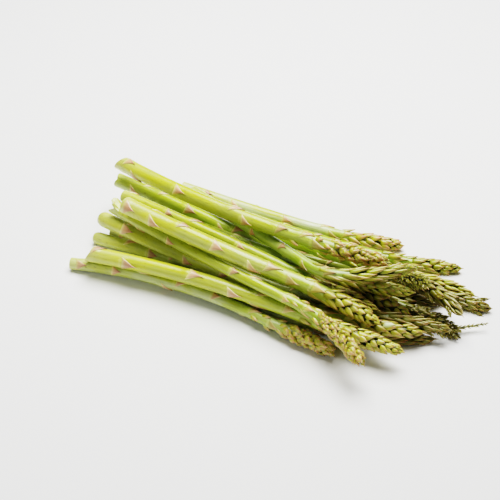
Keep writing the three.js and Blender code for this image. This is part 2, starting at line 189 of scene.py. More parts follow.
def settlePile(lines):  # lets the pile down and nudges the spears off each other and off the surface
    shares = np.linspace(0, 1, pile["steps"] + 1)
    for line in lines:
        line.radius = line.radii(shares)
        line.reach = line.radius + pile["skin"]
    for turn in range(pile["rounds"]):
        sink = pile["sink"] * max(0, 1 - turn / (pile["rounds"] * pile["sinkShare"]))
        for line in lines:
            line.push(0.5, (0, 0, -sink))
            line.places = line.points(shares)
        for index, line in enumerate(lines):
            depths = line.radius - pile["bed"] - line.places[:, 2]
            low = depths.argmax()
            if depths[low] > 0:
                line.push(shares[low], (0, 0, depths[low]))
                line.places = line.points(shares)
            for other in lines[:index]:
                apart = line.places[:, None] - other.places[None]
                distance = np.sqrt((apart ** 2).sum(-1))
                press = line.reach[:, None] + other.reach[None] - distance
                i, j = divmod(press.argmax(), len(shares))
                if press[i, j] > 0:
                    half = apart[i, j] / distance[i, j] * press[i, j] / 2
                    line.push(shares[i], half)
                    other.push(shares[j], -half)
                    line.places = line.points(shares)
                    other.places = other.points(shares)


class Axis:  # a middle line with its girth and directions, looked up at any share of its length
    def __init__(self, shares, places, radii, above=(0, 0, 1.0)):
        self.shares, self.places, self.radii = shares, places, radii
        along = np.gradient(places, shares, axis=0)
        self.along = along / np.linalg.norm(along, axis=1)[:, None]
        upper = np.array(above) - self.along * (self.along @ np.array(above))[:, None]
        self.upper = upper / np.linalg.norm(upper, axis=1)[:, None]
        self.across = np.cross(self.along, self.upper)
        inside = (shares >= 0) & (shares <= 1)
        self.length = np.linalg.norm(np.diff(places[inside], axis=0), axis=1).sum()

    def look(self, rows, share):
        return np.stack([np.interp(share, self.shares, rows[:, i]) for i in range(3)], -1)

    def radius(self, share):
        return np.interp(share, self.shares, self.radii)

    def at(self, share, angle, radius):
        share, angle, radius = np.broadcast_arrays(share, angle, radius)
        out = self.look(self.upper, share) * np.cos(angle)[..., None]
        out = out + self.look(self.across, share) * np.sin(angle)[..., None]
        return self.look(self.places, share) + out * radius[..., None]


class Skin:  # gathers the points, faces and colour marks of one spear
    def __init__(self, spear):
        self.spear = spear
        self.points, self.faces, self.spot, self.growth, self.scaleSpot, self.tone = [], [], [], [], [], []
        self.count = 0

    def add(self, points, faces, spot, growth, scaleSpot, pale):
        points = points.reshape(-1, 3)
        whole = len(points)
        tone = np.stack(np.broadcast_arrays(self.spear["bloom"], self.spear["pink"], np.ravel(pale)), -1)
        self.points.append(points)
        self.faces += [tuple(int(i) + self.count for i in face) for face in faces]
        self.spot.append(spot.reshape(-1, 3))
        self.growth.append(growth.reshape(-1, 3))
        self.scaleSpot.append(scaleSpot.reshape(-1, 3))
        self.tone.append(np.broadcast_to(tone, (whole, 3)))
        self.count += whole


def gridFaces(rows, columns, closed):
    row, column = np.meshgrid(np.arange(rows - 1), np.arange(columns - (not closed)), indexing="ij")
    here = row * columns + column
    beside = row * columns + (column + 1) % columns
    return np.stack([here, beside, beside + columns, here + columns], -1).reshape(-1, 4).tolist()


def rimOf(rows, columns):
    right = [row * columns + columns - 1 for row in range(1, rows)]
    last = [(rows - 1) * columns + column for column in range(columns - 2, -1, -1)]
    left = [row * columns for row in range(rows - 2, 0, -1)]
    return list(range(columns)) + right + last + left


class ScaleGrid:  # one scale: a plump pointed blade whose sides fold down to a root sunk in the stem
    def __init__(self, rows, columns):
        self.rows, self.columns = np.array(rows), np.array(columns)
        self.fold = np.zeros((len(rows), len(columns)))
        self.fold[:, [0, -1]] = 1
        self.fold[-1, :] = 1
        rim = rimOf(len(rows), len(columns))
        root = len(rows) * len(columns)
        self.faces = gridFaces(len(rows), len(columns), False)
        self.faces += [(rim[(i + 1) % len(rim)], rim[i], root) for i in range(len(rim))]


fineGrid = ScaleGrid([0, 0.05, 0.13, 0.24, 0.38, 0.54, 0.7, 0.84, 0.94, 1, 1],
                     [-1, -1, -0.8, -0.52, -0.25, 0, 0.25, 0.52, 0.8, 1, 1])
smallGrid = ScaleGrid([0, 0.2, 0.45, 0.7, 0.9, 1, 1], [-1, -1, -0.5, 0, 0.5, 1, 1])
tinyGrid = ScaleGrid([0, 0.3, 0.7, 1, 1], [-1, -1, 0, 1, 1])


# How every scale and scale leaf is formed, in shares of its own length unless it says otherwise
scaleForm = {
    "leafSlope": 0.85,  # below 1 a scale leaf narrows sooner
    "scaleStart": 0.27,  # where on its rounded outline a scale of the tip starts
    "scalePoint": 1.15,
    "foot": 0.1,  # over which it comes out of the stem
    "riseBend": 1.5,
    "bellyPlace": 0.8,
    "bellyRound": 0.8,
    "edge": 0.3,  # over which its sides come down
    "slim": 0.35,  # share of the spear's girth under which scales lie flatter
    "least": 0.15,  # mm from the middle line
    "wrap": 1.5,  # how far it may reach round to either side, in radians
    "root": 0.4,
}


def growScale(skin, axis, base, turn, shape, draw, head, grid):
    reach, across = np.meshgrid(grid.rows, grid.columns, indexing="ij")
    length = shape["length"]
    start, foot, wrap = scaleForm["scaleStart"], scaleForm["foot"], scaleForm["wrap"]
    if shape["outline"] == "leaf":
        half = 0.5 + 0.5 * np.cos(math.pi * reach ** scaleForm["leafSlope"])
    else:
        half = np.sin(math.pi * (start + (1 - start) * reach)) ** scaleForm["scalePoint"]
    half = half * shape["width"] / 2
    share = base + (reach * length - shape["sweep"] * across ** 2 * (1 - reach) * length) / axis.length
    radius = axis.radius(share)
    rise = -shape["sink"] + (shape["foot"] + shape["sink"]) * smooth(reach / foot)
    risen = np.clip((reach - foot) / (1 - foot), 0, 1) ** scaleForm["riseBend"]
    rise = rise + (shape["rise"] - shape["foot"]) * risen
    belly = np.sin(math.pi * reach ** scaleForm["bellyPlace"])
    belly = shape["bulge"] * belly * (1 - across ** 2) ** scaleForm["bellyRound"]
    drop = shape["edge"] * across ** 4 * smooth(reach / scaleForm["edge"])
    full = np.minimum(1, radius / (scaleForm["slim"] * shape["girth"]))
    height = (rise + belly - drop) * full - grid.fold * shape["thick"]
    stand = np.maximum(radius + height, scaleForm["least"])
    angle = turn + shape["skew"] * reach ** 2 + np.clip(across * half / stand, -wrap, wrap)
    points = axis.at(share, angle, stand)
    rootShare = base + scaleForm["root"] * length / axis.length
    rootRadius = max(float(axis.radius(rootShare)) - shape["root"], 0.0)
    root = axis.at(rootShare, turn, rootRadius)
    points = np.concatenate([points.reshape(-1, 3), root[None]])
    girth = shape["girth"]
    spot = np.stack([share * axis.length, girth * np.cos(angle), girth * np.sin(angle)], -1).reshape(-1, 3)
    spot = np.concatenate([spot, [[rootShare * axis.length, 0, 0]]])
    where = np.stack([share, np.ones_like(share), np.full_like(share, head)], -1).reshape(-1, 3)
    where = np.concatenate([where, [[rootShare, 1, head]]])
    marks = np.stack([across, reach, np.full_like(reach, draw)], -1).reshape(-1, 3)
    marks = np.concatenate([marks, [[0, 0.0, draw]]])
    skin.add(points, grid.faces, spot, where, marks, np.full(len(points), shape.get("pale", 0.0)))


# A side shoot: a short bent stalk with small scales round it
shootShape = {
    "reach": 1.3,  # how far its axis goes on, so the last scales have room
    "samples": 27,
    "rings": 8,
    "sides": 8,
    "narrowing": 0.45,  # how much smaller the last scales are
    "sways": (-0.3, 0.3),  # how far it may bend to one side
    "end": 1.05,  # share of its length at which its girth would come to nothing
    "endRound": 2.2,
    "leastGirth": 0.02,
    "stalk": 0.8,  # girth of the bare stalk within its scales
    # how far the bare stalk is darkened toward the core colour: painted shade under its scales
    "stalkShade": 0.6,
    "scaled": 0.95,  # share of its length that carries scales
    "back": 0.2,  # how far a scale starts before its place
    "sizes": (0.85, 1.15),
    "rises": (0.6, 1.4),
    "skews": (-0.2, 0.2),
}


def growShoot(skin, axis, base, turn, shoot, random):
    steps = np.linspace(0, shootShape["reach"], shootShape["samples"])
    along = axis.look(axis.along, base)
    out = axis.at(base, turn, 1.0) - axis.look(axis.places, base)
    side = np.cross(along, out)
    start = axis.at(base, turn, axis.radius(base) * shoot["start"])
    heading = along * math.cos(shoot["lean"]) + out * math.sin(shoot["lean"])
    sway = side * random.uniform(*shootShape["sways"])
    bend = along * shoot["curl"] + sway - np.array([0, 0, shoot["droop"]])
    places = start + shoot["length"] * (steps[:, None] * heading + steps[:, None] ** 2 * bend)
    closing = (steps / shootShape["end"]) ** shootShape["endRound"]
    radii = shoot["girth"] * np.sqrt(np.maximum(1 - closing, shootShape["leastGirth"]))
    twig = Axis(steps, places, radii, along + 0.2 * side)
    rings, sides = shootShape["rings"], shootShape["sides"]
    turns = np.arange(sides) / sides * 2 * math.pi
    share, angle = np.meshgrid(np.linspace(0, 1, rings), turns, indexing="ij")
    points = twig.at(share, angle, twig.radius(share) * shootShape["stalk"])
    faces = gridFaces(rings, sides, True)
    faces.append(tuple(range(sides - 1, -1, -1)))
    faces.append(tuple((rings - 1) * sides + i for i in range(sides)))
    spot = np.stack([share * twig.length, shoot["girth"] * np.cos(angle), shoot["girth"] * np.sin(angle)], -1)
    # painted shade on the bare stalk, carried where the skin reads the weight of the core's shade
    paintedStalkShade = np.full_like(share, shootShape["stalkShade"])
    where = np.stack([np.full_like(share, base), np.zeros_like(share), paintedStalkShade], -1)
    skin.add(points, faces, spot, where, np.zeros_like(where), np.zeros(share.size))
    count = shoot["count"]
    for index in range(count):
        part = (index + 0.5) / count
        length = shoot["scale"] * (1 - shootShape["narrowing"] * part) * random.uniform(*shootShape["sizes"])
        rise = shoot["rise"] * random.uniform(*shootShape["rises"])
        skew = random.uniform(*shootShape["skews"])
        shape = dict(outline="scale", length=length, width=shoot["broad"] * length, sweep=0.0, sink=0.35,
                     foot=0.1, rise=rise, bulge=shoot["bulge"], edge=0.12, thick=0.2, root=0.5, skew=skew,
                     girth=shoot["girth"])
        place = part * shootShape["scaled"] - shootShape["back"] * length / twig.length
        growScale(skin, twig, place, index * goldenAngle, shape, random.random(), 1.0, shoot["grid"])


# The stem: a tube with soft shoulders under its scale leaves, and the core of the tip, painted near-black as
# shade between its scales
stem = {
    "sides": 40,
    "spacing": 1.5,  # mm between rings
    "near": (0.25, 0.6),  # shares of that spacing at which rings stand close to the cut end
    "capGirths": (0.02, 0.3, 0.6, 0.82, 0.93, 0.975),  # rings across the cut end
    "shoulder": 0.55,  # mm that the stem swells under a scale leaf
    "shoulderTurn": 0.75,
    "shoulderPlace": 0.5,
    "shoulderLength": 3.2,
    "wobble": 0.009,  # unevenness of the girth
    "waves": ((2, 23, 1.0), (3, -31, 0.6), (0, 17, 0.7), (1, 41, 0.5)),  # times round, mm along, size
    "shadedCore": 0.34,  # share of the girth that the scales of the tip stand round
    "coreStart": 0.8,
    "coreEnd": 0.88,
    "collar": 0.5,  # paleness just below a scale leaf
    "collarTurn": 0.8,
    "collarPlace": -0.4,
    "collarLength": 0.7,
    "cutGirth": 0.985,
    "cutEdge": 0.5,  # mm over which a straight cut rounds off
    "cutFade": 9.0,  # mm over which an uneven cut dies away
    "slant": 0.6,  # rise of a slanted cut across the stem
    "slantTurn": 2.6,  # which side of it is left longest
    "lobes": 3.3,  # mm between the lobes and the notches of a lobed cut
    "lobeTurn": 2.3,
    "lobeRound": 0.6,
    "torn": 7.15,  # mm that the strips of a torn cut reach
    "tornStrips": 1.5,
    "tornTurn": 0.4,
    "tornRound": 0.7,
    "tornMiddle": 0.8,
    "tornRough": 0.16,
    "flare": 4.0,  # mm that the torn strip on top curls away
    "flareTurn": -0.27,
    "roundLength": 0.02,  # share of the length over which a rounded cut end closes
    "roundGirth": 0.5,  # girth of its flat end
}


def stemRings(spear, axis):  # where the rings stand, their girths, and which of them cross the cut end
    body = np.arange(0, axis.length, stem["spacing"]) / axis.length
    near = np.array(stem["near"]) * stem["spacing"] / axis.length
    capCount = len(stem["capGirths"])
    shares = np.concatenate([np.zeros(capCount), [0], near, body[1:], [1.0]])
    factor = np.ones_like(shares)
    factor[:capCount] = stem["capGirths"]
    cap = np.zeros_like(shares)
    cap[:capCount] = 1
    if spear["cut"] == "round":
        low = stem["roundGirth"]
        closing = np.clip(shares / stem["roundLength"], 0, 1)
        factor = factor * (low + (1 - low) * np.sqrt(1 - (1 - closing) ** 2))
    else:
        low = stem["cutGirth"]
        factor = factor * (low + (1 - low) * smooth(shares * axis.length / stem["cutEdge"]))
    return shares, factor[:, None], cap[:, None]


def cutBack(spear, girth, angle, fade, factor, random):  # how many mm each point of the cut end is cut back
    if spear["cut"] == "slanted":
        return stem["slant"] * (girth * np.cos(angle - stem["slantTurn"]) - spear["thick"] / 2) * fade
    if spear["cut"] == "lobed":
        lobes = np.abs(np.cos(angle - stem["lobeTurn"])) ** stem["lobeRound"]
        return stem["lobes"] * (lobes - 1) * fade * factor ** 2
    if spear["cut"] == "torn":
        strips = np.abs(np.cos(angle * stem["tornStrips"] + stem["tornTurn"])) ** stem["tornRound"]
        rough = random.uniform(-stem["tornRough"], stem["tornRough"], stem["sides"])
        return stem["torn"] * (strips - stem["tornMiddle"] + rough) * fade * factor ** 2
    return -spear.get("trim", 0) * fade


def buildStem(skin, axis, leaves, random):
    spear = skin.spear
    radius = spear["thick"] / 2
    shares, factor, cap = stemRings(spear, axis)
    sides = np.arange(stem["sides"]) / stem["sides"] * 2 * math.pi
    share, angle = np.meshgrid(shares, sides, indexing="ij")
    along = share * axis.length
    # this weight narrows the core and also marks it for painted shade, which the skin darkens toward
    # near-black
    shadedCore = smooth((share - stem["coreStart"]) / (stem["coreEnd"] - stem["coreStart"]))
    girth = axis.radius(share) * factor * (1 - stem["shadedCore"] * shadedCore)
    wave = np.zeros_like(share)
    for phase, (times, span, size) in zip(random.uniform(0, 2 * math.pi, 4), stem["waves"]):
        wave = wave + size * np.sin(times * angle + along / span + phase)
    girth = girth * (1 + stem["wobble"] * wave)
    pale = np.zeros_like(share)
    for leafShare, leafTurn in leaves:
        ahead = (share - leafShare) * axis.length
        turned = np.angle(np.exp(1j * (angle - leafTurn)))
        swell = np.exp(-((ahead - stem["shoulderPlace"]) / stem["shoulderLength"]) ** 2)
        swell = swell * np.exp(-(turned / stem["shoulderTurn"]) ** 2)
        girth = girth + stem["shoulder"] * swell * (1 - cap)
        near = np.exp(-((ahead - stem["collarPlace"]) / stem["collarLength"]) ** 2)
        near = near * np.exp(-(turned / stem["collarTurn"]) ** 4)
        pale = np.maximum(pale, stem["collar"] * near)
    fade = np.exp(-(along / stem["cutFade"]) ** 2)
    back = cutBack(spear, girth, angle, fade, factor, random)
    if spear["cut"] == "torn":
        curled = np.maximum(np.cos(angle - stem["flareTurn"]), 0) ** 2
        girth = girth + stem["flare"] * curled * fade ** 4 * factor ** 2
    points = axis.at(share, angle, girth) - axis.look(axis.along, share) * back[..., None]
    lastRow = len(shares) - 1
    faces = gridFaces(len(shares), len(sides), True)
    faces.append(tuple(range(len(sides) - 1, -1, -1)))
    faces.append(tuple(lastRow * len(sides) + side for side in range(len(sides))))
    spot = np.stack([along, radius * np.cos(angle), radius * np.sin(angle)], -1)
    spot[..., 1:] *= np.where(cap[..., None] > 0, factor[..., None], 1)
    where = np.stack([share, np.zeros_like(share), shadedCore], -1)
    cool = np.full_like(share, spear["cool"])
    marks = np.stack([np.zeros_like(share), cap + np.zeros_like(share), cool], -1)
    skin.add(points, faces, spot, where, marks, pale)


# Scale leaves of the stem, in mm and in shares of its thickness
stemLeaf = {
    "length": 1.04,
    "width": 1.2,
    "sweep": 0.08,
    "sink": 0.5,
    "foot": 0.6,
    "rise": 0.75,
    "bulge": 0.2,
    "edge": 0.25,
    "thick": 0.4,
    "root": 1.2,
    "spacing": 19.0,  # mm between two scale leaves
    "closer": 0.55,  # how much closer they stand near the tip
    "first": 6.0,
    "stray": 0.1,
    "crowd": 0.6,  # share of the spacing that they keep from each other on one side
    "crowdTurn": -0.3,
    "seenTurn": 0.8,  # middle of the side on which the listed ones stand
    "seenWidth": -0.1,
    "sizes": (0.8, 1.15),
    "widths": (0.75, 1.0),
    "skews": (-0.25, 0.25),
    "rises": (0.5, 1.6),
}


def placeLeaves(spear, axis, random):
    seen = [(share, math.radians(turn)) for share, turn in spear["leaves"]]
    leaves = list(seen)
    spacing = stemLeaf["spacing"] / axis.length
    share = stemLeaf["first"] / axis.length
    turn = spear["turn"]
    stray = stemLeaf["stray"]
    lastSeen = max([place[0] for place in seen], default=0)
    while share < growth["headStart"] - 0.01:
        turn += goldenAngle
        faced = math.cos(turn - stemLeaf["seenTurn"]) > stemLeaf["seenWidth"]
        crowded = any(abs(share - place[0]) < stemLeaf["crowd"] * spacing
                      and math.cos(turn - place[1]) > stemLeaf["crowdTurn"] for place in leaves)
        if not crowded and not (faced and share < lastSeen):
            leaves.append((share + random.uniform(-stray, stray) * spacing, turn))
        share += spacing * (1 - stemLeaf["closer"] * smooth(share / growth["headStart"]) ** 2)
    return leaves


def buildLeaves(skin, axis, leaves, random):
    spear = skin.spear
    for share, turn in leaves:
        radius = float(axis.radius(share))
        size = random.uniform(*stemLeaf["sizes"])
        shape = dict(stemLeaf, outline="leaf", length=stemLeaf["length"] * spear["thick"] * size,
                     width=stemLeaf["width"] * 2 * radius * random.uniform(*stemLeaf["widths"]),
                     skew=random.uniform(*stemLeaf["skews"]), girth=spear["thick"] / 2)
        shape["rise"] *= random.uniform(*stemLeaf["rises"])
        growScale(skin, axis, share, turn, shape, random.random(), 0.0, fineGrid)


# Looks of the tips: how many scales and side shoots, their sizes in mm and how they stand
tips = {
    "fine": dict(count=84, length=10.5, small=0.42, width=1.0, rise=1.5, bulge=0.6, edge=0.25, tilt=0.5,
                 first=0.66, crowd=0.62, stray=0.3, shoots=0),
    "tight": dict(count=58, length=12, small=0.4, width=1.15, rise=1.8, bulge=0.75, edge=0.25, tilt=0.5,
                  first=0.66, crowd=0.6, stray=0.3, shoots=0),
    "long": dict(count=56, length=14, small=0.42, width=0.9, rise=1.7, bulge=0.65, edge=0.25, tilt=0.6,
                 first=0.68, crowd=0.62, stray=0.35, shoots=0),
    "knobby": dict(count=16, length=7.5, small=0.8, width=0.8, rise=1.4, bulge=1.0, edge=0.3, tilt=0.3,
                   first=0.68, crowd=0.7, stray=0.3, shoots=30, last=0.84),
    "frilled": dict(count=24, length=8.5, small=0.7, width=0.75, rise=1.6, bulge=0.7, edge=0.3, tilt=0.6,
                    first=0.7, crowd=0.8, stray=0.4, shoots=54, last=0.9),
}
shoots = {
    "knob": dict(start=0.5, lean=0.52, curl=0.3, droop=0.0, length=5.2, girth=2.35, count=7, scale=5.8,
                 broad=0.9, rise=0.3, bulge=0.8, grid=smallGrid),
    "frill": dict(start=0.5, lean=0.7, curl=0.2, droop=0.1, length=6.4, girth=0.8, count=10, scale=3.3,
                  broad=0.46, rise=0.9, bulge=0.3, grid=tinyGrid),
    "prong": dict(start=0.5, lean=0.42, curl=0.1, droop=0.0, length=11.0, girth=1.3, count=12, scale=5.5,
                  broad=0.42, rise=0.5, bulge=0.4, grid=smallGrid),
    "wisp": dict(start=0.6, lean=0.88, curl=0.05, droop=0.0, length=25.0, girth=0.8, count=34, scale=3.4,
                 broad=0.4, rise=0.9, bulge=0.3, grid=tinyGrid),
}


# Pale damaged scales, in mm
flake = dict(outline="scale", length=8.0, width=5.5, sweep=0.0, sink=1.0, foot=0.6, rise=2.6, bulge=0.5,
             edge=0.2, thick=0.4, root=1.6, skew=0.1, pale=1.2)

# How the scales and side shoots of every tip stand
tipRules = {
    "stray": 4.0,  # mm along the spear, at the most, for a stray of 1
    "leastRadius": 1.6,
    "firstRise": 1.25,
    "lastRise": 0.85,
    "clearance": 5.0,  # mm between a scale and a scale leaf of the stem
    "clearTurn": 0.7,  # cosine of the turn between them
    "shootStart": 0.8,
    "shootSpan": 0.18,
    "shootCrowd": 0.9,
    "slim": 0.36,  # share of the thickness under which shoots grow smaller
    "leastShoot": 0.45,
    "lengths": (0.9, 1.1),
    "bulges": (0.8, 1.15),
    "skews": (-0.15, 0.15),
    "blanched": (0.3, 1),
    "shootSizes": (0.85, 1.15),
    "shootLeans": (0.7, 1.15),
}


def buildTip(skin, axis, leaves, random):
    spear = skin.spear
    look = tips[spear["tip"]]
    stray = look["stray"]
    first = spear.get("first", look["first"])
    last = look.get("last", 1.0 - 0.72 * look["length"] * look["small"] / axis.length)
    for index in range(look["count"]):
        part = (index + 0.5) / look["count"]
        length = look["length"] * (1 - (1 - look["small"]) * part) * random.uniform(*tipRules["lengths"])
        base = first + (last - first) * part ** look["crowd"]
        base += random.uniform(-1, 1) * stray * tipRules["stray"] / axis.length
        turn = spear["turn"] + 1 + index * goldenAngle + random.uniform(-1, 1) * stray
        radius = float(axis.radius(base + scaleForm["root"] * length / axis.length))
        width = look["width"] * max(radius, tipRules["leastRadius"])
        lifted = tipRules["firstRise"] + (tipRules["lastRise"] - tipRules["firstRise"]) * part
        lifted = look["rise"] * lifted * (1 + look["tilt"] * random.uniform(-1, 1))
        if any(abs(base - place[0]) * axis.length < tipRules["clearance"]
               and math.cos(turn - place[1]) > tipRules["clearTurn"] for place in leaves):
            continue
        shape = dict(outline="scale", length=length, width=width, sweep=0.0, sink=1.4, foot=0.15,
                     rise=lifted, bulge=look["bulge"] * random.uniform(*tipRules["bulges"]),
                     edge=look["edge"], thick=0.4, root=1.6, skew=random.uniform(*tipRules["skews"]),
                     girth=spear["thick"] / 2,
                     pale=spear.get("blanched", 0) * random.uniform(*tipRules["blanched"]))
        growScale(skin, axis, base, turn, shape, random.random(), 1.0, fineGrid)
    for index in range(look["shoots"]):
        part = (index + 0.5) / look["shoots"]
        shoot = dict(shoots["knob" if spear["tip"] == "knobby" else "frill"])
        base = tipRules["shootStart"] + tipRules["shootSpan"] * part ** tipRules["shootCrowd"]
        shrink = min(1, float(axis.radius(base)) / (tipRules["slim"] * spear["thick"]))
        least = tipRules["leastShoot"]
        for key in ("length", "girth", "scale"):
            shoot[key] *= (least + (1 - least) * shrink) * random.uniform(*tipRules["shootSizes"])
        shoot["lean"] *= random.uniform(*tipRules["shootLeans"]) * (0.5 + 0.5 * shrink)
        growShoot(skin, axis, base, spear["turn"] + 2 + index * goldenAngle, shoot, random)
    for base, turn in spear.get("flakes", []):
        shape = dict(flake, girth=spear["thick"] / 2)
        growScale(skin, axis, base, math.radians(turn), shape, 0.9, 1.0, fineGrid)
    for base, turn, kind in spear.get("shoots", []):
        growShoot(skin, axis, base, math.radians(turn), shoots[kind], random)


def finishMesh(skin, material):
    name = "fine_" + skin.spear["name"]
    points = (np.concatenate(skin.points) + np.array(pile["shift"])) * mm
    points[:, 2] = np.maximum(points[:, 2], pile["lowest"])
    mesh = bpy.data.meshes.new(name)
    mesh.from_pydata(points.tolist(), [], skin.faces)
    for label in ("spot", "growth", "scaleSpot", "tone"):
        layer = mesh.attributes.new(label, "FLOAT_VECTOR", "POINT")
        rows = np.concatenate(getattr(skin, label)).astype(np.float32)
        layer.data.foreach_set("vector", rows.ravel())
    mesh.polygons.foreach_set("use_smooth", [True] * len(mesh.polygons))
    mesh.set_sharp_from_angle(angle=math.radians(pile["sharp"]))
    mesh.materials.append(material)
    piece = bpy.data.objects.new(name, mesh)
    bpy.context.scene.collection.objects.link(piece)
    return piece


def srgb(red, green, blue):
    values = [value / 255 for value in (red, green, blue)]
    linear = [v / 12.92 if v <= 0.04045 else ((v + 0.055) / 1.055) ** 2.4 for v in values]
    return (*linear, 1.0)


class Nodes:  # short ways of adding linked nodes to a material
    def __init__(self, tree):
        self.tree = tree

    def add(self, kind, inputs=None, **settings):
        made = self.tree.nodes.new(kind)
        for key, value in settings.items():
            setattr(made, key, value)
        for key, value in (inputs or {}).items():
            if isinstance(value, bpy.types.NodeSocket):
                self.tree.links.new(value, made.inputs[key])
            else:
                made.inputs[key].default_value = value
        return made

    def math(self, operation, first, second=0.0):
        made = self.add("ShaderNodeMath", {0: first, 1: second}, operation=operation)
        return made.outputs[0]

    def mix(self, share, first, second, blend="MIX"):
        return self.add("ShaderNodeMix", {0: share, 6: first, 7: second}, data_type="RGBA",
                        blend_type=blend).outputs[2]

    def ramp(self, value, stops):
        made = self.add("ShaderNodeValToRGB", {0: value})
        ramp = made.color_ramp
        while len(ramp.elements) < len(stops):
            ramp.elements.new(0.5)
        for element, (place, colour) in zip(ramp.elements, stops):
            element.position = place
            element.color = colour
        return made.outputs[0]

    def range(self, value, low, high, toLow=0.0, toHigh=1.0):
        made = self.add("ShaderNodeMapRange", {0: value, 1: low, 2: high, 3: toLow, 4: toHigh},
                        interpolation_type="SMOOTHSTEP")
        return made.outputs[0]

    def noise(self, vector, stretch, scale=1.0, detail=3.0, rough=0.55):
        moved = self.add("ShaderNodeVectorMath", {0: vector, 1: stretch}, operation="MULTIPLY").outputs[0]
        made = self.add("ShaderNodeTexNoise", {"Vector": moved, "Scale": scale, "Detail": detail,
                                               "Roughness": rough})
        return made.outputs[0]


# Colours of the three kinds of spear; the olive one is the same skin darker in every stop, painted shade for
# the spears that lie in shadow
spearLooks = {
    "yellow_green_spear": {
        "stem": [(0.0, srgb(214, 212, 132)), (0.05, srgb(206, 209, 96)), (0.16, srgb(196, 201, 44)),
                 (0.5, srgb(178, 187, 12)), (0.74, srgb(156, 178, 36)), (0.88, srgb(132, 152, 30))],
        "patch": srgb(160, 168, 4),
        # each tip ramp starts near-black at reach 0: painted shade at the root of every scale, where it comes
        # out of the core
        "tip": [(0.0, srgb(80, 83, 6)), (0.14, srgb(158, 162, 22)), (0.5, srgb(192, 185, 58)),
                (0.78, srgb(206, 183, 106)), (0.9, srgb(196, 145, 96)), (1.0, srgb(158, 98, 62))],
    },
    "green_spear": {
        "stem": [(0.0, srgb(202, 206, 112)), (0.05, srgb(190, 201, 78)), (0.16, srgb(170, 190, 40)),
                 (0.5, srgb(152, 176, 18)), (0.74, srgb(134, 162, 24)), (0.88, srgb(112, 136, 18))],
        "patch": srgb(130, 154, 4),
        "tip": [(0.0, srgb(72, 75, 4)), (0.14, srgb(142, 152, 12)), (0.5, srgb(174, 172, 40)),
                (0.78, srgb(190, 168, 82)), (0.9, srgb(178, 131, 72)), (1.0, srgb(142, 89, 48))],
    },
    # darker copy of the skin: painted shade for the spears that lie in shadow
    "olive_spear": {
        "stem": [(0.0, srgb(166, 167, 78)), (0.05, srgb(151, 160, 48)), (0.16, srgb(138, 149, 22)),
                 (0.5, srgb(126, 140, 12)), (0.74, srgb(110, 125, 12)), (0.88, srgb(89, 99, 8))],
        "patch": srgb(104, 117, 2),
        "tip": [(0.0, srgb(50, 50, 2)), (0.14, srgb(106, 108, 6)), (0.5, srgb(134, 126, 20)),
                (0.78, srgb(146, 118, 46)), (0.9, srgb(136, 92, 42)), (1.0, srgb(106, 62, 28))],
    },
}
skinLook = {
    "leaf": [(0.0, srgb(210, 210, 96)), (0.12, srgb(228, 216, 140)), (0.3, srgb(210, 166, 122)),
             (0.75, srgb(194, 134, 106)), (1.0, srgb(146, 86, 64))],
    "pinkTip": srgb(200, 132, 104),
    "bloom": srgb(202, 212, 160),
    "pale": srgb(226, 222, 140),
    "streak": srgb(208, 208, 56),
    "cool": srgb(136, 174, 38),
    "cut": srgb(230, 228, 168),
    # painted shade: near-black green for the core of the tip, where its scales shade it
    "shadedCore": srgb(62, 66, 4),
    "speck": srgb(116, 98, 8),
    "roughness": (0.36, 0.52),
    "coat": 1.0,
    "coatRoughness": 0.3,
    "specular": 0.45,
    "subsurface": 0.03,
    "subsurfaceRadius": (0.7, 1.0, 0.25),
    "subsurfaceScale": 0.002,
    "bump": 0.5,
    "bumpDepth": 0.0006,
}

# How fine each pattern is along the spear and round it
skinNoise = {
    "streaks": (0.05, 1.1, 1.1),
    "patches": (0.03, 0.12, 0.12),
    "specks": (0.28, 0.9, 0.9),
    "fibres": (1.0, 1.6, 1.6),
    "grain": (1.4, 3.2, 3.2),
    "dents": (0.25, 0.6, 0.6),
    "veins": (5.0, 1.0, 1.0),
}

# How strongly each colour is laid over the one before; the core share lays painted shade over the core of the
# tip
skinShares = {"patch": 0.6, "streak": 0.3, "cool": 0.75, "speck": 0.5, "shadedCore": 0.9, "fibre": 0.5,
              "edge": 0.4, "vein": 0.4, "blanched": 0.75, "nearTip": 0.6}

# How much each pattern raises the skin
skinBumps = {"streaks": 0.7, "grain": 0.35, "dents": 0.9, "veins": 0.6}


